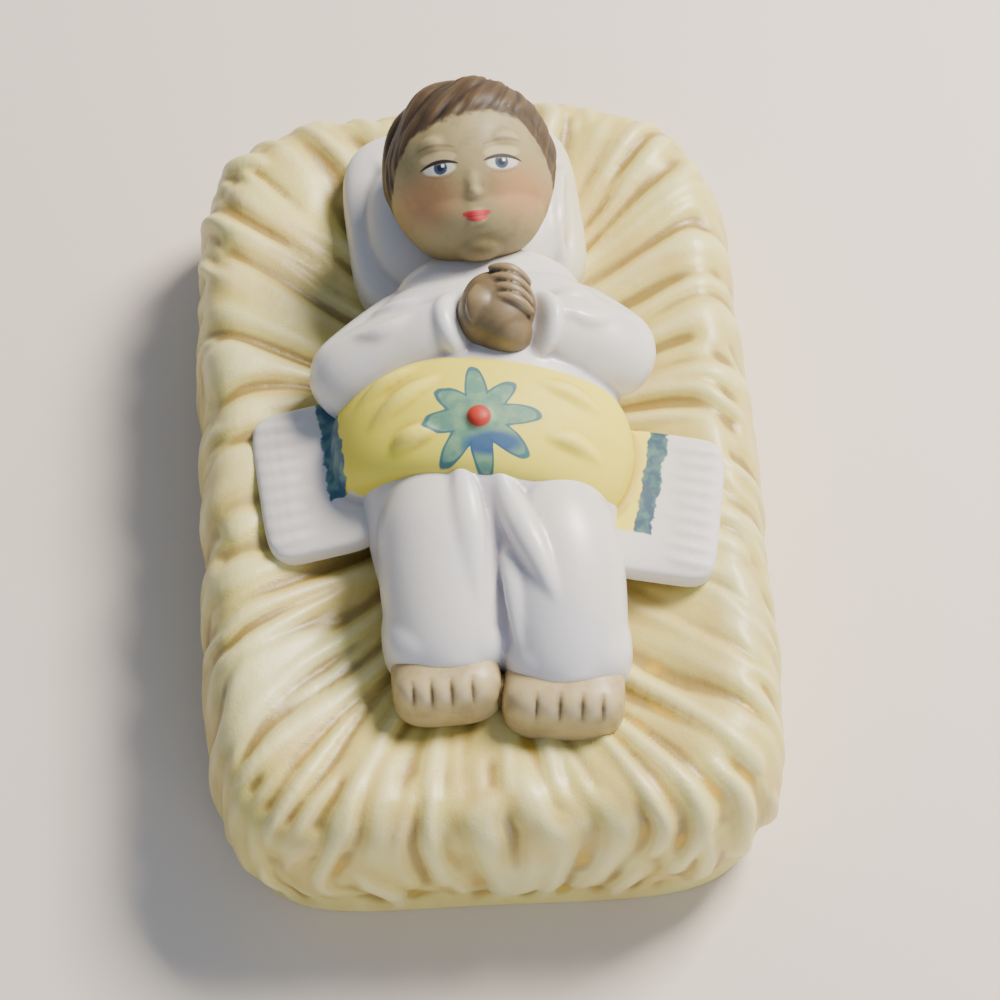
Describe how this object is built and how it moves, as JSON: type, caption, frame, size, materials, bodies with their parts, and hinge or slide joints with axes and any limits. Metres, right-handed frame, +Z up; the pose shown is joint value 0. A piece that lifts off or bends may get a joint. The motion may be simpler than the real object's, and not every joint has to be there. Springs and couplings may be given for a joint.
{
  "type": "nativity infant figurine",
  "caption": "Small painted bisque porcelain figurine of a child in a gown and a fringed sash, hands clasped, lying on a straw bed with a pillow.",
  "frame": {"origin": "centre of the flat underside, at floor level", "axes": "+Z up, +Y from the feet towards the head, +X to the right of someone who stands at the feet"},
  "size_m": [0.0582, 0.0886, 0.0392],
  "materials": {
    "straw": "satin bisque, cream with an ochre wash in the grooves"
  },
  "bodies": {
    "root": {"figurine": "straw"}
  },
  "joints": []
}
